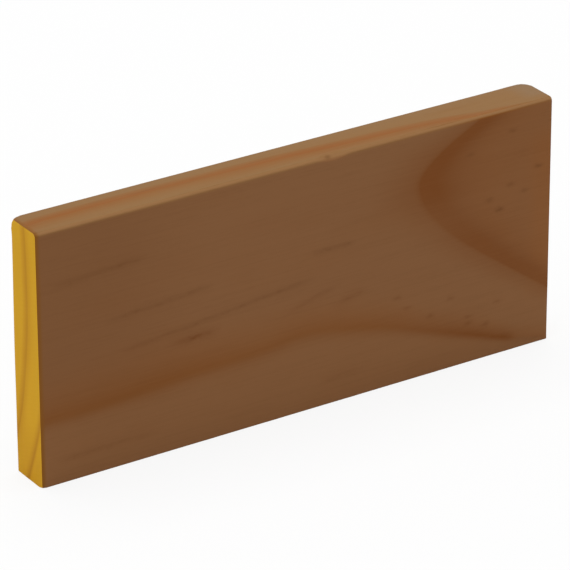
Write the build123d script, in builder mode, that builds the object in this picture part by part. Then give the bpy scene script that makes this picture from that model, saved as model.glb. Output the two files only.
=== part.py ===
from build123d import *
import os
from math import sqrt

# Cover strip: a short length of planed softwood strip, cut square at both ends.
# It stands on its long narrow edge, with its show face to the front.
#
# Frame: X runs along the grain, Y from the show face (front) to the fixing face
# (back), and Z up. The origin is the middle of the narrow edge that it stands on.
# All sizes are in millimetres.

# The planed section and the length that it is cut to
strip_length = 155.0
strip_thickness = 12.0
strip_height = 70.0

# Each of the four long arrises is eased to its own radius
front_top_radius = 1.0
back_top_radius = 0.2
front_bottom_radius = 0.3
back_bottom_radius = 0.3

# The two upper corners of the back are knocked round. On each of the three faces
# that meet there, the loss shows as a quarter circle of this radius.
corner_loss_radius = 2.7

# The lower front corner at the left end has lost a little in the same way.
foot_loss_radius = 1.3

# A bruise on the front top arris: where its middle is, counted from the middle of
# the strip, how long it is, and how deep it goes below the eased arris
bruise_from_middle = 9.4
bruise_length = 9.0
bruise_depth = 0.55

# How far each cutter reaches past the wood
cutter_overshoot = 1.0

# What is lost at the two back top corners: a block at the corner, less a ball that
# is centred one loss radius in from each of the three faces
with BuildPart() as corner_loss:
    with Locations(
        (
            strip_length / 2 - corner_loss_radius,
            strip_thickness / 2 - corner_loss_radius,
            strip_height - corner_loss_radius,
        )
    ):
        Box(
            corner_loss_radius + cutter_overshoot,
            corner_loss_radius + cutter_overshoot,
            corner_loss_radius + cutter_overshoot,
            align=(Align.MIN, Align.MIN, Align.MIN),
        )
        Sphere(radius=corner_loss_radius * sqrt(2), mode=Mode.SUBTRACT)
    mirror(about=Plane.YZ)

# What is lost at the lower front corner of the left end, made in the same way
with BuildPart() as foot_loss:
    with Locations(
        (
            -strip_length / 2 + foot_loss_radius,
            -strip_thickness / 2 + foot_loss_radius,
            foot_loss_radius,
        )
    ):
        Box(
            foot_loss_radius + cutter_overshoot,
            foot_loss_radius + cutter_overshoot,
            foot_loss_radius + cutter_overshoot,
            align=(Align.MAX, Align.MAX, Align.MAX),
        )
        Sphere(radius=foot_loss_radius * sqrt(2), mode=Mode.SUBTRACT)

# What is lost at the bruise: a shallow scoop, struck across the arris. Its radius
# follows from its length and depth, and its axis leans back at 45 degrees.
eased_depth = front_top_radius * (sqrt(2) - 1)
scoop_radius = ((bruise_length / 2) ** 2 + bruise_depth**2) / (2 * bruise_depth)
arris_plane = Plane(
    origin=(bruise_from_middle, -strip_thickness / 2, strip_height),
    x_dir=(1, 0, 0),
    z_dir=(0, -1, 1),
)
with BuildPart(arris_plane) as bruise_loss:
    with Locations((0, 0, scoop_radius - bruise_depth - eased_depth)):
        Cylinder(
            radius=scoop_radius,
            height=2 * (bruise_depth + eased_depth + cutter_overshoot),
            rotation=(90, 0, 0),
        )

# The strip: its section, run along the grain, then worn
with BuildPart() as cover_strip:
    # In this sketch x is the strip's Y, front to back, and y is its Z.
    with BuildSketch(Plane.YZ.offset(-strip_length / 2)):
        Rectangle(strip_thickness, strip_height, align=(Align.CENTER, Align.MIN))
        fillet(vertices().group_by(Axis.Y)[-1].sort_by(Axis.X)[0], radius=front_top_radius)
        fillet(vertices().group_by(Axis.Y)[-1].sort_by(Axis.X)[-1], radius=back_top_radius)
        fillet(vertices().group_by(Axis.Y)[0].sort_by(Axis.X)[0], radius=front_bottom_radius)
        fillet(vertices().group_by(Axis.Y)[0].sort_by(Axis.X)[-1], radius=back_bottom_radius)
    extrude(amount=strip_length)
    add(corner_loss.part, mode=Mode.SUBTRACT)
    add(foot_loss.part, mode=Mode.SUBTRACT)
    add(bruise_loss.part, mode=Mode.SUBTRACT)
cover_strip.part.label = "cover_strip"

os.makedirs("parts", exist_ok=True)
export_step(cover_strip.part, "parts/cover_strip.step")
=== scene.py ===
# %% [markdown]
# # A cover strip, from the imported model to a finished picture
#
# The object is a short length of planed softwood strip. It is 155 mm long, 70 mm wide and 12 mm
# thick, it has been stained brown, and its two cut ends are light and yellow. It stands on one long
# narrow edge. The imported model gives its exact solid, and everything below is made around that
# solid, in metres, in the same frame: X along the grain, Y from the show face to the fixing face,
# and Z up.

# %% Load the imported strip
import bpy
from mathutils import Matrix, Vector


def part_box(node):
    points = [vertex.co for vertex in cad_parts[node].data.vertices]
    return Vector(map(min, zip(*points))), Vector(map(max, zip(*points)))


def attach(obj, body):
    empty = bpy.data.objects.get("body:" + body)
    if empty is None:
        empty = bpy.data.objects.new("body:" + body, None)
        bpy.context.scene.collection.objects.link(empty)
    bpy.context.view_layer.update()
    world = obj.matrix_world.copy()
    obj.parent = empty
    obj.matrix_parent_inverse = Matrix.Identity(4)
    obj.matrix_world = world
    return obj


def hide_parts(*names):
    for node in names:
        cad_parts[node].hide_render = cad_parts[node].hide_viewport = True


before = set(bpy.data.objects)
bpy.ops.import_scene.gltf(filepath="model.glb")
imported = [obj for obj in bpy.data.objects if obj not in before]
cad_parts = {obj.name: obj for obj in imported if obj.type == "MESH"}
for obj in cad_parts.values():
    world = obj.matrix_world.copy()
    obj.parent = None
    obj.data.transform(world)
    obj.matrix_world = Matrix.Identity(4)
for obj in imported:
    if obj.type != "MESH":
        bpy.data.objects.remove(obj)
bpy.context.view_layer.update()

# %% [markdown]
# Wood is measured in millimetres, so the wood's own rules below are written in millimetres too, and
# only the last step turns them into the metres of the scene. The strip's three sizes are read from
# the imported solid, never typed again.

# %% The strip's sizes
from math import pi, sqrt

import bmesh
import bpy
import numpy as np
from mathutils import Matrix, Vector, noise

MM = 0.001
strip_low, strip_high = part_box("cover_strip")
LENGTH, THICKNESS, HEIGHT = [round(side / MM, 3) for side in strip_high - strip_low]
LEFT_END = -LENGTH / 2
SHOW_FACE = -THICKNESS / 2
print("strip:", LENGTH, "x", THICKNESS, "x", HEIGHT, "mm")

# %% [markdown]
# ## The camera
#
# The photograph was taken from the left, from above, and from far off with a long lens, so the
# strip's parallel edges stay almost parallel. The three directions of the camera were worked out
# from the strip's seven visible corners. They go straight into the columns of the camera's matrix:
# its right, its up, and the way opposite to its view.

# %% Place the camera
CAMERA_AT = Vector((-555.530, -858.368, 521.342)) * MM
CAMERA_RIGHT = Vector((0.83931404, -0.54363748, -0.00319779))
CAMERA_UP = Vector((0.23639488, 0.35965708, 0.90264293))
SENSOR = 36.0
LENS_PER_SENSOR = 7.77372

camera_data = bpy.data.cameras.new("camera")
camera_data.sensor_width = SENSOR
camera_data.lens = SENSOR * LENS_PER_SENSOR
camera_data.clip_start = 0.05
camera_data.clip_end = 20.0
camera = bpy.data.objects.new("camera", camera_data)
turn = Matrix((CAMERA_RIGHT, CAMERA_UP, CAMERA_RIGHT.cross(CAMERA_UP))).transposed()
camera.matrix_world = Matrix.Translation(CAMERA_AT) @ turn.to_4x4()
bpy.context.scene.collection.objects.link(camera)
bpy.context.scene.camera = camera
print("lens:", round(camera_data.lens, 1), "mm")

# %% [markdown]
# ## Writing a material as a sum
#
# A node material is a sum drawn as boxes. Here it is written as a sum instead. A `Wire` is the
# output of one node, and adding, taking away or multiplying wires adds the Math node that does it.
# `work` does the same for the operations that have no sign of their own, and on plain numbers it
# just works them out. So one rule for the growth rings can paint the wood and also shape it.

# %% A wire, and sums of wires
class Wire:
    """The output of one node."""

    def __init__(self, tree, socket):
        self.tree = tree
        self.socket = socket

    def node(self, kind, settings=None, values=None, output=0):
        """Add a node: first its settings, then a value or a wire for each named socket."""
        made = self.tree.nodes.new(kind)
        for name, value in (settings or {}).items():
            setattr(made, name, value)
        for name, value in (values or {}).items():
            if isinstance(value, Wire):
                self.tree.links.new(value.socket, made.inputs[name])
            else:
                made.inputs[name].default_value = value
        return Wire(self.tree, made.outputs[output])

    def __add__(self, other):
        return work("ADD", self, other)

    def __sub__(self, other):
        return work("SUBTRACT", self, other)

    def __rsub__(self, other):
        return work("SUBTRACT", other, self)

    def __mul__(self, other):
        return work("MULTIPLY", self, other)

    def __truediv__(self, other):
        return work("DIVIDE", self, other)

    __radd__ = __add__
    __rmul__ = __mul__


ON_NUMBERS = {
    "ADD": np.add,
    "SUBTRACT": np.subtract,
    "MULTIPLY": np.multiply,
    "DIVIDE": np.divide,
    "POWER": np.power,
    "MAXIMUM": np.maximum,
    "MINIMUM": np.minimum,
    "GREATER_THAN": np.greater,
    "EXPONENT": lambda value, unused: np.exp(value),
    "SQRT": lambda value, unused: np.sqrt(value),
    "SINE": lambda value, unused: np.sin(value),
    "FLOOR": lambda value, unused: np.floor(value),
}


def work(operation, first, second=0.0):
    """One operation, as a Math node where a wire takes part, and as a number otherwise."""
    for value in (first, second):
        if isinstance(value, Wire):
            return value.node("ShaderNodeMath", {"operation": operation}, {0: first, 1: second})
    return ON_NUMBERS[operation](first, second)


def held(value, low=0.0, high=1.0):
    """The value, held between two limits."""
    return work("MINIMUM", work("MAXIMUM", value, low), high)


def ease(value, start, end):
    """0 at the start, 1 at the end, with a smooth way between them."""
    share = held((value - start) / (end - start))
    return share * share * (3.0 - 2.0 * share)


def hump(value, middle, width):
    """1 at the middle, falling away on both sides like a bell."""
    off = (value - middle) / width
    return work("EXPONENT", -1.0 * (off * off))


print("operations that work on both wires and numbers:", len(ON_NUMBERS))

# %% [markdown]
# ## The growth rings
#
# A softwood trunk is a stack of cones, one inside the next, one for each year. In spring it grows
# pale wood, then darker and darker wood until autumn, and then it stops, so each ring fades in and
# ends sharply. The strip was sawn from the side of such a trunk. A plane cuts the cones in arches on
# the show face, in long stripes on the top edge and in curved lines on the cut end, and they all
# have to meet at the arrises.
#
# A texture painted on each face can't do that. So the rings are one rule in space: `growth` says, in
# millimetres, how far outwards in the trunk a point lies from one chosen ring. That ring comes to
# the surface in a V at the right of the show face.

# %% How far out in the trunk a point lies
RING_WIDTH = 9.132

# The chosen ring's depth behind the show face far from its V, and how it curves across the strip
RING_DEPTH = 5.368
RING_CREST = 54.289
RING_CURVE = 275.985

# The V: its tip, its flanks (flatter above the tip than below it), and how soon the ring dives
TIP_ALONG = 117.39
TIP_HEIGHT = 54.76
TIP_ROUND = 24.05
FLANK_ABOVE = 2.426
FLANK_BELOW = 1.525
DIVE_LENGTH = 19.41
DIVE_START = 8.41
RISE_PAST_TIP = 0.382
RISE_LENGTH = 8.38

# Where this trunk bulges: place along the strip, height, reach along, reach up, and how far
SWELLS = [
    (4.0, 19.3, 14.0, 10.0, -0.51),
    (20.0, 19.8, 14.0, 10.0, -0.43),
    (36.0, 20.4, 14.0, 10.0, -0.18),
    (52.0, 21.1, 13.0, 10.0, -0.13),
    (80.0, 21.9, 11.0, 10.0, 0.61),
    (92.0, 20.2, 11.0, 10.0, 0.14),
    (118.0, 12.8, 13.0, 10.0, -0.70),
    (132.0, 7.8, 12.0, 10.0, -1.19),
    (144.0, 3.9, 10.0, 10.0, -1.33),
    (30.0, 71.0, 24.0, 6.0, 0.75),
    (96.0, 71.0, 18.0, 6.0, -0.75),
    (126.0, 71.0, 7.0, 4.0, 0.45),
    (0.0, 70.0, 4.0, 7.0, -0.40),
    (0.0, 50.0, 3.0, 35.0, -0.40),
]


# Its slow waves: how far, how fast they turn along, up and into the strip, and where they start
WAVES = [
    (0.05, 0.0909, 0.1111, 0.0, 1.3),
    (0.05, 0.0435, -0.2128, 0.0, 0.4),
    (0.03, 0.1587, -0.0769, 0.3226, 0.0),
]
# What is left of the waves and bulges past the tip of the V
CALM = 0.25


def wander(along, height, depth):
    """How far a trunk that didn't grow quite straight strays here, in millimetres."""
    waves = 0.0
    for amount, turn_along, turn_up, turn_in, start in WAVES:
        angle = along * turn_along + height * turn_up + depth * turn_in + start
        waves = waves + amount * work("SINE", angle)
    for at, level, reach_along, reach_up, amount in SWELLS:
        waves = waves + amount * (hump(along, at, reach_along) * hump(height, level, reach_up))
    return waves


def growth(along, height, depth):
    """How far outwards a point lies from the chosen ring; negative is nearer to the pith."""
    up = height - TIP_HEIGHT
    flank = FLANK_BELOW + (FLANK_ABOVE - FLANK_BELOW) * work("GREATER_THAN", up, 0.0)
    reach = flank * up
    v_line = TIP_ALONG - TIP_ROUND + work("SQRT", reach * reach + TIP_ROUND**2)
    before = v_line - along
    left = work("MAXIMUM", before, 0.0)
    right = work("MINIMUM", before, 0.0)
    dive = 1.0 - work("EXPONENT", -1.0 * (left / DIVE_LENGTH) * (left / (left + DIVE_START)))
    dive = dive - RISE_PAST_TIP * (right * right) / (right * right + RISE_LENGTH**2)
    across = height - RING_CREST
    full_depth = RING_DEPTH + across * across / RING_CURVE
    calm = CALM + (1.0 - CALM) * held(dive)
    return full_depth * dive - depth + calm * wander(along, height, depth)


print("growth at the tip of the V:", round(float(growth(TIP_ALONG, TIP_HEIGHT, 0.0)), 2), "mm")

# %% [markdown]
# The darkness of the wood follows from the growth. Within each year it stays pale for about three
# quarters of the ring, darkens slowly to the end of the year, and is gone a third of a millimetre
# later. The chosen year also has a fainter dark border beyond its end. Where the cut crosses the
# rings at a low angle, as at the tip of the V, all of this is drawn out over several millimetres. The
# year within is wider than the others, and the next year out ends less sharply.

# %% How dark the wood is within its year
INNER_WIDTH = 13.5
LATE_LENGTH = 2.5
LATE_END = 0.33
OUTER_LATE_END = 0.70
OUTER_POWER = 1.8
BORDER = 0.54
BORDER_LENGTH = 2.0


def lateness(out):
    """0 in spring wood, 1 at the end of the year's growth."""
    outside = work("GREATER_THAN", out, 0.0)
    outer_year = work("GREATER_THAN", out, RING_WIDTH / 2)
    width = INNER_WIDTH + (RING_WIDTH - INNER_WIDTH) * outside
    past = out - width * work("FLOOR", out / width + 0.5)
    before = held(1.0 + work("MINIMUM", past, 0.0) / LATE_LENGTH)
    before = work("POWER", before, 1.0 + (OUTER_POWER - 1.0) * outer_year)
    year_end = LATE_END + (OUTER_LATE_END - LATE_END) * outer_year
    late = before * hump(work("MAXIMUM", past, 0.0), 0.0, year_end)
    return held(late + BORDER * hump(out, 0.0, BORDER_LENGTH) * outside)


for millimetres in (-2.5, -1.0, 0.0, 0.5, 4.0, 9.0):
    print("growth", millimetres, "-> lateness", round(float(lateness(millimetres)), 2))

# %% [markdown]
# ## The strip's shape
#
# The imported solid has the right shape, but its surface is made of a few long triangles, and real
# planed wood isn't that plain. Its arrises have been sanded by hand and waver a little, three
# corners are knocked round, and the hard autumn wood stands a few hundredths of a millimetre proud
# of the soft spring wood. So the strip is made again as a fine skin that replaces the solid: a block
# with bevelled edges, cut into a close net by planes, whose points can then be moved one by one.

# %% A block with the four long arrises eased
ARRIS_RADIUS = {(-1, 1): 1.0, (1, 1): 0.2, (-1, -1): 0.3, (1, -1): 0.3}
ARRIS_STEPS = 8
RIM_RADIUS = 0.15
RIM_STEPS = 3
NEAR = 1e-4

strip = bmesh.new()
bmesh.ops.create_cube(strip, size=1.0)
bmesh.ops.scale(strip, vec=(LENGTH, THICKNESS, HEIGHT), verts=strip.verts)
bmesh.ops.translate(strip, vec=(0.0, 0.0, HEIGHT / 2), verts=strip.verts)
for (side, level), radius in ARRIS_RADIUS.items():
    edge_height = HEIGHT * (1 + level) / 2
    arris = [
        edge
        for edge in strip.edges
        if all(
            abs(v.co.y - side * THICKNESS / 2) < NEAR and abs(v.co.z - edge_height) < NEAR
            for v in edge.verts
        )
    ]
    bmesh.ops.bevel(
        strip,
        geom=arris,
        offset=radius,
        offset_type="OFFSET",
        affect="EDGES",
        segments=ARRIS_STEPS,
        profile=0.5,
        material=-1,
        clamp_overlap=True,
    )
rims = [e for e in strip.edges if all(abs(v.co.x) > LENGTH / 2 - NEAR for v in e.verts)]
bmesh.ops.bevel(
    strip,
    geom=rims,
    offset=RIM_RADIUS,
    offset_type="OFFSET",
    affect="EDGES",
    segments=RIM_STEPS,
    profile=0.5,
    material=-1,
    clamp_overlap=True,
)
print("block:", len(strip.verts), "points,", len(strip.faces), "faces")

# %% [markdown]
# The net is close where something happens, at the ends, the arrises and the bruise on the front top
# arris, and wider in between. Each cut is one `bisect_plane`.

# %% Cut the block into a close net
BRUISE_FROM_MIDDLE = 9.4
BRUISE_LENGTH = 9.0
WIDE_PITCH = 0.85
DEPTH_PITCH = 0.55
CLOSE_PITCH = 0.3
LEVEL_PITCH = 0.35

# How far the close zones reach in from an end, the back, the foot and the top
END_ZONE = 4.0
BACK_ZONE = 3.5
FOOT_ZONE = 2.0
TOP_ZONE = 4.5

# How far from the faces the net leaves off, past which the bevels have lines of their own
FRONT_MARGIN = 1.0
BACK_MARGIN = 0.5
FOOT_MARGIN = 0.3
TOP_MARGIN = 1.0
BRUISE_MARGIN = 0.5


def net_lines(start, end, pitch, close_zones, close_pitch):
    """Places to cut between start and end, closer together inside the close zones."""
    lines = []
    at = start
    while True:
        close = any(low <= at < high for low, high in close_zones)
        at += close_pitch if close else pitch
        if at >= end - NEAR:
            return lines
        lines.append(at)


half = LENGTH / 2
back = THICKNESS / 2
bruise_start = BRUISE_FROM_MIDDLE - BRUISE_LENGTH / 2 - BRUISE_MARGIN
bruise_end = BRUISE_FROM_MIDDLE + BRUISE_LENGTH / 2
close_along = [(-half, -half + END_ZONE), (half - END_ZONE, half), (bruise_start, bruise_end)]
close_in = [(back - BACK_ZONE, back)]
close_up = [(0.0, FOOT_ZONE), (HEIGHT - TOP_ZONE, HEIGHT)]
cuts = {
    (1, 0, 0): net_lines(
        -half + RIM_RADIUS, half - RIM_RADIUS, WIDE_PITCH, close_along, CLOSE_PITCH
    ),
    (0, 1, 0): net_lines(
        SHOW_FACE + FRONT_MARGIN, back - BACK_MARGIN, DEPTH_PITCH, close_in, CLOSE_PITCH
    ),
    (0, 0, 1): net_lines(
        FOOT_MARGIN, HEIGHT - TOP_MARGIN, WIDE_PITCH, close_up, LEVEL_PITCH
    ),
}
for normal, places in cuts.items():
    for place in places:
        bmesh.ops.bisect_plane(
            strip,
            geom=strip.verts[:] + strip.edges[:] + strip.faces[:],
            dist=NEAR,
            plane_co=Vector(normal) * place,
            plane_no=normal,
        )
print("net:", len(strip.verts), "points,", len(strip.faces), "faces")

# %% [markdown]
# ## Wear that can be seen
#
# A corner that has been knocked goes round like a ball, so each point near it is pulled onto a ball.
# A hard limit would leave a saw-toothed edge on the net. `soft_limit` bends smoothly into the limit
# instead, and that is also how a worn corner meets the wood around it.

# %% Knock the corners round
CORNER_LOSS = 2.7
FOOT_LOSS = 1.3
SOFTNESS = 0.18
# The part of a corner's reach over which its loss fades in from the edge
FADE_IN = 0.2


def soft_limit(value, limit, softness):
    """The value, bent smoothly so that it never passes the limit."""
    return -softness * np.log(np.exp(-value / softness) + np.exp(-limit / softness))


points = np.array([v.co for v in strip.verts])


def knock_round(corner, loss):
    """Pull the points around a corner onto a ball centred one loss in from its three faces."""
    inward = np.sign(np.array([0.0, 0.0, HEIGHT / 2]) - corner)
    centre = corner + inward * loss
    off = (centre - points) * inward
    inside = np.all(off > 0.0, axis=1)
    away = np.linalg.norm(off[inside], axis=1)
    kept = soft_limit(away, loss * sqrt(2), SOFTNESS) / away
    edge_share = ease(off[inside].min(axis=1), 0.0, loss * FADE_IN)
    scale = 1.0 + (kept - 1.0) * edge_share
    points[inside] = centre - inward * off[inside] * scale[:, None]
    print("corner", [round(float(v), 1) for v in corner], "moved", int(inside.sum()), "points")


knock_round(np.array([LEFT_END, back, HEIGHT]), CORNER_LOSS)
knock_round(np.array([-LEFT_END, back, HEIGHT]), CORNER_LOSS)
knock_round(np.array([LEFT_END, SHOW_FACE, 0.0]), FOOT_LOSS)

# %% [markdown]
# The back arris of the cut end that shows is worn as well, by up to half a millimetre, and most of
# all a little below its top. In the picture that sets the left outline a touch more upright.

# %% Wear the upright back arris at the left end
BACK_WEAR = 0.5
WEAR_THICKNESS = 3.5
WEAR_LENGTH = 6.0
WEAR_STARTS = 30.0
WEAR_FULL = 66.0
WEAR_FADES = 65.0

from_back = ease(points[:, 1], back - WEAR_THICKNESS, back)
from_end = ease(points[:, 0] - LEFT_END, WEAR_LENGTH, 0.0)
up_the_end = ease(points[:, 2], WEAR_STARTS, WEAR_FULL) * ease(points[:, 2], HEIGHT, WEAR_FADES)
points[:, 1] -= BACK_WEAR * from_back * from_end * up_the_end
print("the back arris gave up", BACK_WEAR, "mm at most")

# %% [markdown]
# The bruise is a shallow scoop, struck across the front top arris. Its hollow is part of a circle
# whose radius follows from its length and depth. Points outside it are pushed straight in, along the
# line that halves the corner.

# %% Press the bruise into the arris
BRUISE_DEPTH = 0.55
BRUISE_SOFTNESS = 0.06
# How far around the arris points are looked at: along it, as a part of the length, and inwards
BRUISE_REACH = 0.75
BRUISE_INWARD = 4.0

eased_depth = ARRIS_RADIUS[(-1, 1)] * (sqrt(2) - 1)
scoop_radius = ((BRUISE_LENGTH / 2) ** 2 + BRUISE_DEPTH**2) / (2 * BRUISE_DEPTH)
outward = np.array([0.0, -1.0, 1.0]) / sqrt(2)

stand_out = (points - np.array([0.0, SHOW_FACE, HEIGHT])) @ outward
along = np.clip(points[:, 0] - BRUISE_FROM_MIDDLE, -scoop_radius, scoop_radius)
hollow = scoop_radius - BRUISE_DEPTH - eased_depth - np.sqrt(scoop_radius**2 - along**2)
struck = (np.abs(along) < BRUISE_LENGTH * BRUISE_REACH) & (stand_out > -BRUISE_INWARD)
push = stand_out[struck] - soft_limit(stand_out[struck], hollow[struck], BRUISE_SOFTNESS)
points[struck] -= push[:, None] * outward
print("bruise: radius", round(scoop_radius, 1), "mm, deepest push", round(float(push.max()), 2), "mm")

# %% [markdown]
# Last come the finest shapes. The spring wood sinks below the autumn wood, which the same ring rule
# knows. The planer's knives leave a very shallow wave along the strip, the sandpaper has taken a
# little more off the long arrises here and there, and the saw has torn the soft wood of the ends. All
# of these take wood away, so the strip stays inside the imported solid's box.

# %% Sink the soft wood, and waver the arrises
SPRING_SINK = 0.025
PLANER_PITCH = 1.9
PLANER_DEPTH = 0.004
ARRIS_WAVER = 0.04
SAW_TEAR = 0.03
# How much the arrises have lost on average, and how much of the other sinks the torn ends take
WAVER_MIDDLE = 0.4
TORN_SHARE = 0.5
# The two noises, in spots for each millimetre, and how square a point faces an end or an arris
SLOW_SPOTS = np.array([0.16, 0.5, 0.5])
FAST_SPOTS = np.array([1.0, 1.1, 0.9])
FACES_END = 0.7
FACES_ARRIS = 0.25

for vertex, point in zip(strip.verts, points):
    vertex.co = point
strip.normal_update()
normals = np.array([v.normal for v in strip.verts])
late = lateness(growth(points[:, 0] - LEFT_END, points[:, 2], points[:, 1] - SHOW_FACE))
planer = (1.0 + np.sin(points[:, 0] * 2 * pi / PLANER_PITCH)) / 2
slow_noise = np.array([noise.noise(Vector(spot)) for spot in points * SLOW_SPOTS])
fast_noise = np.array([noise.noise(Vector(spot)) for spot in points * FAST_SPOTS])

turned = np.abs(normals)
on_end = turned[:, 0] > FACES_END
on_arris = (turned[:, 1] > FACES_ARRIS) & (turned[:, 2] > FACES_ARRIS) & ~on_end
sink = SPRING_SINK * (1.0 - late) + PLANER_DEPTH * planer
sink = np.where(on_end, SAW_TEAR * (1.0 + fast_noise) / 2 + TORN_SHARE * sink, sink)
waver = ARRIS_WAVER * np.clip(WAVER_MIDDLE + slow_noise, 0.0, 1.0)
sink = sink + np.where(on_arris, waver, 0.0)
points -= normals * sink[:, None]
print("deepest sink:", round(float(sink.max()), 3), "mm")

# %% [markdown]
# The skin becomes a mesh. Its faces are shaded smooth, except across the sharp turn of a knocked
# corner, and the faces of the two cut ends are marked for a finish of their own.

# %% Turn the net into the strip's mesh
SHARP_TURN = 0.7
END_FACING = 0.6

for vertex, point in zip(strip.verts, points):
    vertex.co = point * MM
strip.normal_update()
for face in strip.faces:
    face.smooth = True
    middle = face.calc_center_median()
    by_end = abs(middle.x) > (half - CORNER_LOSS) * MM
    face.material_index = 1 if by_end and abs(face.normal.x) > END_FACING else 0
for edge in strip.edges:
    edge.smooth = edge.calc_face_angle(0.0) < SHARP_TURN

strip_mesh = bpy.data.meshes.new("strip")
strip.to_mesh(strip_mesh)
strip.free()
strip_piece = bpy.data.objects.new("stained_strip", strip_mesh)
bpy.context.scene.collection.objects.link(strip_piece)
triangles = sum(len(p.vertices) - 2 for p in strip_mesh.polygons)
print("strip:", triangles, "triangles")

# %% [markdown]
# ## The stained wood
#
# A brown stain dyes spring wood evenly and sinks less into the hard autumn wood, which glows through
# it warmer and redder. Over that lie the fibres, hundreds to the centimetre, a few resin ducts that
# show as thin dark dashes along the grain, and little dark specks. The front top arris has a painted
# highlight, and at the left end the stain has pooled in an orange-brown rim.
#
# The colours below are the wood's own colours, in the linear values that light works with, except
# that the top edge's colours and the arris colour also hold painted light.

# %% Start a material
STAIN_PALE = (0.231, 0.1032, 0.0395)
STAIN_LATE = (0.183, 0.0555, 0.0085)
STAIN_MELLOW = (0.205, 0.068, 0.0120)
STAIN_DARK = (0.128, 0.043, 0.0090)
STAIN_MARK = (0.140, 0.038, 0.0050)
STAIN_WARM = (0.262, 0.100, 0.0280)
STAIN_LIGHT = (0.270, 0.122, 0.0450)
STAIN_RIM = (0.220, 0.080, 0.0060)
# Lighter copies of the stain for the top edge: painted light and a painted sheen on the top
TOP_PALE_PAINTED_LIT = (0.249, 0.1265, 0.0420)
TOP_LATE_PAINTED_LIT = (0.249, 0.080, 0.0080)
EDGE_GREY = (0.240, 0.140, 0.0650)
# A painted highlight colour for the rounded front top arris
ARRIS_HIGHLIGHT = (0.290, 0.146, 0.0570)


def start_material(name):
    """A new material: its shader, its place in space, and that place in the strip's millimetres."""
    material = bpy.data.materials.new(name)
    material.use_nodes = True
    tree = material.node_tree
    shader = tree.nodes["Principled BSDF"]
    place = Wire(tree, tree.nodes.new("ShaderNodeTexCoord").outputs["Object"])
    parts = place.node("ShaderNodeSeparateXYZ", None, {"Vector": place})
    x, y, z = [Wire(tree, output) / MM for output in parts.socket.node.outputs]
    return material, shader, place, (x - LEFT_END, z, y - SHOW_FACE)


def mix(factor, below, above):
    """One colour laid over another by a factor from 0 to 1."""
    colours = [c if isinstance(c, Wire) else (*c, 1.0) for c in (below, above)]
    values = {0: factor, 6: colours[0], 7: colours[1]}
    return factor.node("ShaderNodeMix", {"data_type": "RGBA"}, values, output=2)


def cloud(place, stretch, detail=3.0, rough=0.55):
    """A noise whose grain has its own size along each axis, in spots for each millimetre."""
    per_metre = tuple(value / MM for value in stretch)
    spot = place.node("ShaderNodeVectorMath", {"operation": "MULTIPLY"}, {0: place, 1: per_metre})
    values = {"Vector": spot, "Scale": 1.0, "Detail": detail, "Roughness": rough}
    return place.node("ShaderNodeTexNoise", {"noise_dimensions": "3D"}, values)


stain, stain_shader, stain_place, (s_along, s_height, s_depth) = start_material("stained_wood")
stain_growth = growth(s_along, s_height, s_depth)
stain_late = lateness(stain_growth)
print("nodes for the rings:", len(stain.node_tree.nodes))

# %% [markdown]
# The dark dashes are resin ducts, cut lengthways. Each one is drawn where it lies on the show face:
# a thin line along the grain that fades at both ends. The specks are the same thing cut short.

# %% Resin ducts and specks
# Start and end along the strip, height at the start and at the end, half width, and darkness
DUCTS = [
    (4.5, 31.5, 54.6, 56.3, 0.75, 0.42),
    (20.0, 51.0, 41.2, 43.2, 0.70, 0.36),
    (80.0, 94.8, 44.2, 44.3, 0.60, 0.46),
    (24.0, 81.0, 32.0, 37.2, 0.60, 0.40),
    (38.0, 52.0, 30.1, 30.4, 0.95, 0.66),
    (73.0, 89.0, 29.6, 33.4, 0.65, 0.36),
    (87.5, 97.0, 27.9, 29.8, 0.90, 0.42),
    (5.0, 34.0, 6.4, 7.0, 0.80, 0.25),
    (83.0, 97.0, 7.2, 7.6, 0.90, 0.25),
]
# Along the strip, height, and darkness
SPECKS = [
    (106.8, 24.7, 0.32),
    (109.9, 21.2, 0.28),
    (117.2, 16.8, 0.32),
    (123.6, 20.2, 0.26),
    (129.2, 13.6, 0.30),
    (129.4, 11.6, 0.34),
    (134.9, 9.8, 0.30),
    (138.6, 15.5, 0.26),
    (135.5, 45.4, 0.34),
    (138.8, 41.9, 0.62),
    (142.2, 48.2, 0.36),
    (146.8, 45.5, 0.30),
    (151.1, 51.5, 0.50),
    (129.3, 59.8, 0.32),
    (142.6, 63.6, 0.34),
]
SPECK_LENGTH = 1.3
SPECK_WIDTH = 0.6
SPECK_RAGGED = 1.6
DUCT_DEPTH = 0.9
DUCT_DRIFT = 0.72
# How far a duct runs on past its end, and how far within its end it is full
DUCT_TAIL = 2.0
DUCT_TAPER = 5.0
# The stain that has bled around a duct: how much wider it is, and its share of the darkness
BLEED_WIDTH = 2.6
BLEED_SHARE = 0.25
# A duct is broken up by a noise, between its faintest and its darkest
BROKEN_FROM = 0.25
BROKEN_GAIN = 2.2
FAINTEST = 0.5
DARKEST = 1.25

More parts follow.
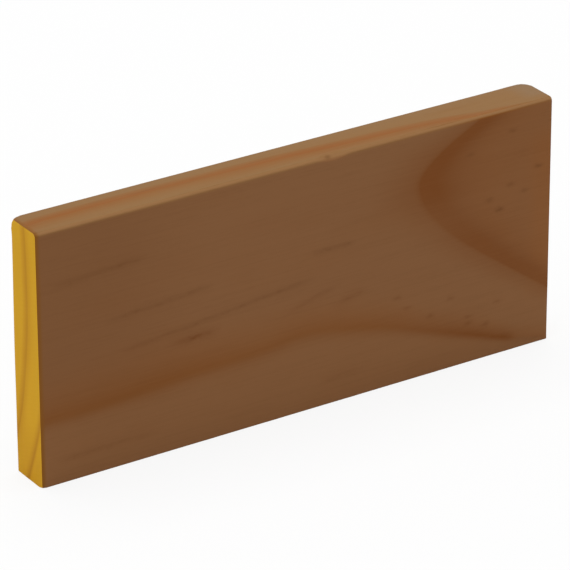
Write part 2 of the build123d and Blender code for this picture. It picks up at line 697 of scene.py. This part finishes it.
broken = cloud(stain_place, (0.45, 0.9, 0.9), detail=3.0, rough=0.6)
drift = (cloud(stain_place, (0.12, 0.3, 0.3), detail=1.0, rough=0.5) - 0.5) * DUCT_DRIFT
marks = 0.0
for start, end, low, high, width, darkness in DUCTS:
    line = low + (s_along - start) * ((high - low) / (end - start)) + drift
    ends = ease(s_along, start - DUCT_TAIL, start + DUCT_TAPER)
    ends = ends * ease(s_along, end + DUCT_TAIL, end - DUCT_TAPER)
    thread = hump(s_height, line, width) * (1.0 - BLEED_SHARE)
    thread = thread + hump(s_height, line, width * BLEED_WIDTH) * BLEED_SHARE
    marks = marks + darkness * ends * thread
marks = marks * held((broken - BROKEN_FROM) * BROKEN_GAIN, FAINTEST, DARKEST)
ragged = s_height + (broken - 0.5) * SPECK_RAGGED
for at, height, darkness in SPECKS:
    marks = marks + darkness * hump(s_along, at, SPECK_LENGTH) * hump(ragged, height, SPECK_WIDTH)
marks = marks * ease(s_depth, DUCT_DEPTH, 0.0)
print("ducts and specks:", len(DUCTS) + len(SPECKS))

# %% [markdown]
# Three noises break up the tone. The fibres are very long and very thin, the flecks are shorter, and
# the mottle is broad and faint. The hidden faces get scattered ducts of their own, so that no side of
# the strip looks unfinished.

# %% Fibres, flecks and mottle
HIDDEN = (1.0, 3.0)
SCATTER = (0.70, 0.78)

fibres = cloud(stain_place, (0.05, 2.6, 2.6), detail=4.0, rough=0.6)
flecks = cloud(stain_place, (0.35, 1.6, 1.6), detail=2.0, rough=0.5)
mottle = cloud(stain_place, (0.035, 0.12, 0.12), detail=2.0, rough=0.5)
scattered = ease(cloud(stain_place, (0.03, 1.1, 1.1), detail=1.0, rough=0.5), *SCATTER)
scattered = scattered * ease(s_depth, *HIDDEN)
print("nodes with the noises:", len(stain.node_tree.nodes))

# %% [markdown]
# The strip isn't the same tone everywhere. It is painted paler towards its foot, which is painted
# light against the shade near the floor, warmer where the right end has been handled, and darker at
# the upper left, which is painted shade, and its dark bands are stronger high up and at both ends.
# Each of these places is one `ease` from where it begins to where it is full, in millimetres from the
# left end, the foot or the show face, or along the growth of the rings.

# %% Where the tone changes
WORN_END = (LENGTH - 9.0, LENGTH - 2.0)
WORN_LOW = (12.0, 26.0)
WORN_HIGH = (64.0, 56.0)
PAINTED_FOOT_LIGHT = (34.0, 6.0)
WITHIN_GROWTH = (-0.3, -1.6)
WITHIN_ALONG = (118.0, 136.0)
OVER_ARCH_IN = (6.2, 9.0)
OVER_ARCH_OUT = (9.6, 9.1)
PAINTED_SHADE_ALONG = (55.0, 15.0)
PAINTED_SHADE_UP = (0.0, 35.0)
HIGH_UP = (44.0, 56.0)

worn_end = ease(s_along, *WORN_END)
worn_band = worn_end * ease(s_height, *WORN_LOW) * ease(s_height, *WORN_HIGH)
# Painted light: the stain is painted paler towards the foot, against the shade near the floor
painted_foot_light = ease(s_height, *PAINTED_FOOT_LIGHT)
within = ease(stain_growth, *WITHIN_GROWTH) * ease(s_along, *WITHIN_ALONG)
above_arch = ease(stain_growth, *OVER_ARCH_IN) * ease(stain_growth, *OVER_ARCH_OUT)
# Painted shade: darker towards the left end, high up on the strip
painted_left_shade = ease(s_along, *PAINTED_SHADE_ALONG) * ease(s_height, *PAINTED_SHADE_UP)
high = ease(s_height, *HIGH_UP)
print("nodes with the places:", len(stain.node_tree.nodes))

# %% [markdown]
# The dark bands come next: how strongly they show, and in which colour. Low down in the middle they
# are mellow, and high up and at the right they are redder.

# %% How strong the dark bands are
BANDS_LOW = 0.66
BANDS_HIGH = 0.34
BANDS_LEFT = 0.12
BANDS_RIGHT = 0.20
BANDS_FADE = 0.8
LEFT_PART = (70.0, 40.0)
RIGHT_PART = (112.0, 140.0)
RED_PART = (95.0, 125.0)
CORNER_ALONG = (141.0, 147.0)
CORNER_UP = (12.0, 8.0)
WITHIN_BAND = 0.12
MOTTLE_SHARE = 0.3

bands = BANDS_LOW + BANDS_HIGH * high
bands = bands + BANDS_LEFT * ease(s_along, *LEFT_PART) + BANDS_RIGHT * ease(s_along, *RIGHT_PART)
low_corner = ease(s_along, *CORNER_ALONG) * ease(s_height, *CORNER_UP)
bands = held(bands) * (1.0 - BANDS_FADE * low_corner)
uneven = (mottle - 0.5) * MOTTLE_SHARE
late_share = held(stain_late * bands + within * WITHIN_BAND + uneven)
late_colour = mix(held(high + ease(s_along, *RED_PART)), STAIN_MELLOW, STAIN_LATE)
print("nodes with the bands:", len(stain.node_tree.nodes))

# %% [markdown]
# The top edge is painted paler than the show face, as painted light and a painted sheen on the top,
# and grey dirt lies on it at the right end and along the back. The front top arris has its own
# painted highlight, which at the bruise reaches lower and farther in, and the bruise holds one dark
# fleck.

# %% The top edge, the arris and the bruise
TOP_EDGE = (HEIGHT - 1.3, HEIGHT - 0.2)
EDGE_POWER = 0.5
EDGE_SHARE = 0.95
GREY_IN = (1.5, 5.0)
GREY_SHARE = 0.9
BACK_IN = (7.0, 10.5)
BACK_SHARE = 0.2
ARRIS_HIGHLIGHT_UP = (HEIGHT - 0.9, HEIGHT - 0.35)
ARRIS_HIGHLIGHT_IN = (1.1, 0.3)
HOLLOW_LENGTH = 3.2
HOLLOW_LOWER = 0.3
HOLLOW_FARTHER = 0.8
FLECK_ALONG = 85.7
FLECK_DEPTH = 0.6
FLECK_LENGTH = 0.9
FLECK_WIDTH = 0.55

top_edge = ease(s_height, *TOP_EDGE)
edge_late = work("POWER", stain_late, EDGE_POWER) * EDGE_SHARE
greyed = worn_end * ease(s_depth, *GREY_IN) * GREY_SHARE + ease(s_depth, *BACK_IN) * BACK_SHARE
# The top edge's colour, painted lighter as painted light and sheen, with its grey dirt
top_colour_with_painted_light = mix(held(edge_late + uneven), TOP_PALE_PAINTED_LIT, TOP_LATE_PAINTED_LIT)
top_colour_with_painted_light = mix(held(greyed), top_colour_with_painted_light, EDGE_GREY)
hollow_share = hump(s_along, BRUISE_FROM_MIDDLE - LEFT_END, HOLLOW_LENGTH)
# Painted highlight along the front top arris, reaching lower and farther in at the bruise
painted_arris_highlight = ease(s_height + hollow_share * HOLLOW_LOWER, *ARRIS_HIGHLIGHT_UP)
painted_arris_highlight = painted_arris_highlight * ease(s_depth - hollow_share * HOLLOW_FARTHER, *ARRIS_HIGHLIGHT_IN)
fleck = hump(s_along, FLECK_ALONG, FLECK_LENGTH) * hump(s_depth, FLECK_DEPTH, FLECK_WIDTH)
fleck = fleck * top_edge
print("nodes with the top edge:", len(stain.node_tree.nodes))

# %% [markdown]
# Now the colours are laid over each other, from the broadest to the smallest, as a finisher would
# glaze them.

# %% Lay the stain's colours over each other
WORN_SHARE = 0.6
PAINTED_FOOT_LIGHT_SHARE = 0.3
ARCH_SHARE = 0.25
WITHIN_SHARE = 0.2
PAINTED_SHADE_SHARE = 0.21
FIBRE_DARK = 0.45
FLECKS_DARK = 0.15
FIBRE_LIGHT = 0.4
MARK_RED = (34.0, 31.0)
SCATTER_SHARE = 0.3
FLECK_SHARE = 0.6
RIM_ALONG = (1.6, 0.2)
RIM_SHARE = 0.9

colour = mix(worn_band * WORN_SHARE, STAIN_PALE, STAIN_WARM)
# Painted light towards the foot
colour = mix(painted_foot_light * PAINTED_FOOT_LIGHT_SHARE, colour, STAIN_LIGHT)
colour = mix(above_arch * ARCH_SHARE, colour, STAIN_WARM)
colour = mix(late_share, colour, late_colour)
colour = mix(within * WITHIN_SHARE, colour, STAIN_WARM)
# Painted shade at the upper left
colour = mix(painted_left_shade * PAINTED_SHADE_SHARE, colour, STAIN_DARK)
# Painted light and sheen on the top edge
colour = mix(top_edge, colour, top_colour_with_painted_light)
# Painted highlight on the front top arris
colour = mix(painted_arris_highlight, colour, ARRIS_HIGHLIGHT)
darker = (fibres - 0.5) * FIBRE_DARK + (flecks - 0.5) * FLECKS_DARK
colour = mix(held(darker), colour, STAIN_DARK)
colour = mix(held((0.5 - fibres) * FIBRE_LIGHT), colour, STAIN_LIGHT)
mark_colour = mix(ease(s_height, *MARK_RED), STAIN_DARK, STAIN_MARK)
mark_share = held(marks + scattered * SCATTER_SHARE + fleck * FLECK_SHARE)
colour = mix(mark_share, colour, mark_colour)
colour = mix(ease(s_along, *RIM_ALONG) * RIM_SHARE, colour, STAIN_RIM)
print("nodes for the stained wood:", len(stain.node_tree.nodes))

# %% [markdown]
# Stain with no varnish on it is only a little glossy, and less so in the open spring wood than in the
# tight autumn wood. The fibres stand up by a few thousandths of a millimetre, which a Bump node adds
# to the shape of the mesh.

# %% Finish the stained wood
BUMP_STRENGTH = 0.6
FIBRE_RISE = 0.02
STAIN_ROUGH = 0.52
LATE_SMOOTHER = 0.08
FIBRE_ROUGHER = 0.12
STAIN_GLOSS = 0.08
RISE_OF_FIBRES = 0.7
RISE_OF_FLECKS = 0.3
DIP_OF_MARKS = 0.5

tree = stain.node_tree
rough = STAIN_ROUGH - stain_late * LATE_SMOOTHER + (fibres - 0.5) * FIBRE_ROUGHER
relief = fibres * RISE_OF_FIBRES + flecks * RISE_OF_FLECKS - marks * DIP_OF_MARKS
bump_values = {"Strength": BUMP_STRENGTH, "Distance": FIBRE_RISE * MM, "Height": relief}
bump = stain_place.node("ShaderNodeBump", None, bump_values)
tree.links.new(colour.socket, stain_shader.inputs["Base Color"])
tree.links.new(rough.socket, stain_shader.inputs["Roughness"])
tree.links.new(bump.socket, stain_shader.inputs["Normal"])
stain_shader.inputs["Specular IOR Level"].default_value = STAIN_GLOSS
print("stained wood: finished with", len(tree.nodes), "nodes")

# %% [markdown]
# ## The cut ends
#
# The strip was stained first and cut to length after, so its ends show bare wood, a strong light
# yellow. The same rings cross them as fine brown curves. Across the grain the fibres are seen end on,
# as tiny pores, and the saw has left faint slanting lines. The wood is a little darker near the foot.

# %% Make the finish of the cut ends
END_PALE = (0.615, 0.330, 0.0150)
END_LATE = (0.437, 0.190, 0.0100)
SAW_PITCH = 1.3
SAW_SLANT = 0.35
SAW_WOBBLE = 5.0
FOOT_DARK = (22.0, 0.0)
RING_ON_END = 0.75
FOOT_ON_END = 0.25
PATCH_ON_END = 0.3
PORE_ON_END = 0.5
SAW_ON_END = 0.03

cut, cut_shader, cut_place, (c_along, c_height, c_depth) = start_material("cut_wood")
cut_late = lateness(growth(c_along, c_height, c_depth))
pores = cloud(cut_place, (0.4, 4.5, 4.5), detail=2.0, rough=0.6)
patches = cloud(cut_place, (0.1, 0.16, 0.10), detail=2.0, rough=0.5)
saw_angle = (c_height + c_depth * SAW_SLANT) * (2 * pi / SAW_PITCH) + patches * SAW_WOBBLE
saw_wave = work("SINE", saw_angle)

brown = cut_late * RING_ON_END + ease(c_height, *FOOT_DARK) * FOOT_ON_END
bare = mix(held(brown + (patches - 0.5) * PATCH_ON_END), END_PALE, END_LATE)
bare = mix(held((pores - 0.5) * PORE_ON_END + saw_wave * SAW_ON_END), bare, END_LATE)
print("nodes for the cut wood's colour:", len(cut.node_tree.nodes))

# %% [markdown]
# Bare end grain is rougher than stained wood. The pores and the saw's lines also go into its relief.

# %% Finish the cut ends
END_ROUGH = 0.62
PORES_ROUGHER = 0.2
END_GLOSS = 0.05
END_RISE = 0.03
RISE_OF_PORES = 0.6
RISE_OF_SAW = 0.25

tree = cut.node_tree
end_rough = END_ROUGH + (pores - 0.5) * PORES_ROUGHER
end_relief = pores * RISE_OF_PORES + saw_wave * RISE_OF_SAW
bump_values = {"Strength": BUMP_STRENGTH, "Distance": END_RISE * MM, "Height": end_relief}
end_bump = cut_place.node("ShaderNodeBump", None, bump_values)
tree.links.new(bare.socket, cut_shader.inputs["Base Color"])
tree.links.new(end_rough.socket, cut_shader.inputs["Roughness"])
tree.links.new(end_bump.socket, cut_shader.inputs["Normal"])
cut_shader.inputs["Specular IOR Level"].default_value = END_GLOSS
print("cut wood:", len(tree.nodes), "nodes")

# %% [markdown]
# Both finishes go on the one piece. It rides on the strip's only body and stands for the imported
# solid.

# %% Dress the strip
strip_mesh.materials.append(stain)
strip_mesh.materials.append(cut)
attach(strip_piece, "root")
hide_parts("cover_strip")
print("dressed:", strip_piece.name)

# %% [markdown]
# ## The studio
#
# The strip stands on a plain pale floor that runs out of the picture on every side. A broad soft
# light hangs overhead, so the top edge is the brightest face, as in the photograph, and the sky gives
# the rest. The camera, mirrors and glass see the sky as plain white. The camera sees the floor as
# nearly white too, and what is left of the floor's own colour keeps the strip's soft shadow.

# %% Lay the floor and light it
FLOOR_SIZE = 12.0
PLAIN_WHITE = 0.85
SKY_LIGHT = 0.55
LAMP_POWER = 30.0
FILL_SHARE = 0.35
FLOOR_GREY = (0.88, 0.88, 0.88, 1.0)

floor_net = bmesh.new()
bmesh.ops.create_grid(floor_net, x_segments=1, y_segments=1, size=FLOOR_SIZE / 2)
floor_mesh = bpy.data.meshes.new("floor")
floor_net.to_mesh(floor_mesh)
floor_net.free()
floor = bpy.data.objects.new("floor", floor_mesh)
bpy.context.scene.collection.objects.link(floor)
floor_paint = bpy.data.materials.new("floor_paint")
floor_paint.use_nodes = True
floor_tree = floor_paint.node_tree
floor_shader = floor_tree.nodes["Principled BSDF"]
floor_shader.inputs["Base Color"].default_value = FLOOR_GREY
floor_shader.inputs["Roughness"].default_value = 1.0
floor_shader.inputs["Specular IOR Level"].default_value = 0.0
floor_rays = Wire(floor_tree, floor_tree.nodes.new("ShaderNodeLightPath").outputs["Is Camera Ray"])
white = floor_rays.node("ShaderNodeEmission", None, {"Strength": 1.0})
own = Wire(floor_tree, floor_shader.outputs["BSDF"])
shown = floor_rays.node("ShaderNodeMixShader", None, {0: floor_rays * PLAIN_WHITE, 1: own, 2: white})
floor_tree.links.new(shown.socket, floor_tree.nodes["Material Output"].inputs["Surface"])
floor_mesh.materials.append(floor_paint)

world = bpy.data.worlds.new("studio")
bpy.context.scene.world = world
world.use_nodes = True
sky_tree = world.node_tree
sky = sky_tree.nodes["Background"]
rays = sky_tree.nodes.new("ShaderNodeLightPath")
seen = Wire(sky_tree, rays.outputs["Is Camera Ray"])
for name in ("Is Glossy Ray", "Is Transmission Ray"):
    seen = work("MAXIMUM", seen, Wire(sky_tree, rays.outputs[name]))
strength = SKY_LIGHT + seen * (1.0 - SKY_LIGHT)
sky.inputs["Color"].default_value = (1.0, 1.0, 1.0, 1.0)
sky_tree.links.new(strength.socket, sky.inputs["Strength"])


def lamp(name, at, aim, size, power):
    """A square soft light that points at a place."""
    data = bpy.data.lights.new(name, "AREA")
    data.shape = "SQUARE"
    data.size = size
    data.energy = power
    light = bpy.data.objects.new(name, data)
    light.location = at
    light.rotation_euler = (Vector(aim) - Vector(at)).to_track_quat("-Z", "Y").to_euler()
    bpy.context.scene.collection.objects.link(light)


lamp("overhead", (0.0, 0.2, 2.2), (0.0, 0.0, 0.0), 1.8, LAMP_POWER)
lamp("left_fill", (-2.4, -0.9, 1.1), (0.0, 0.0, 0.03), 1.6, LAMP_POWER * FILL_SHARE)

# %% [markdown]
# ## Finish
#
# The colours are shown as they are, with the plain view transform.

# %% Finish
bpy.context.scene.view_settings.view_transform = "Standard"
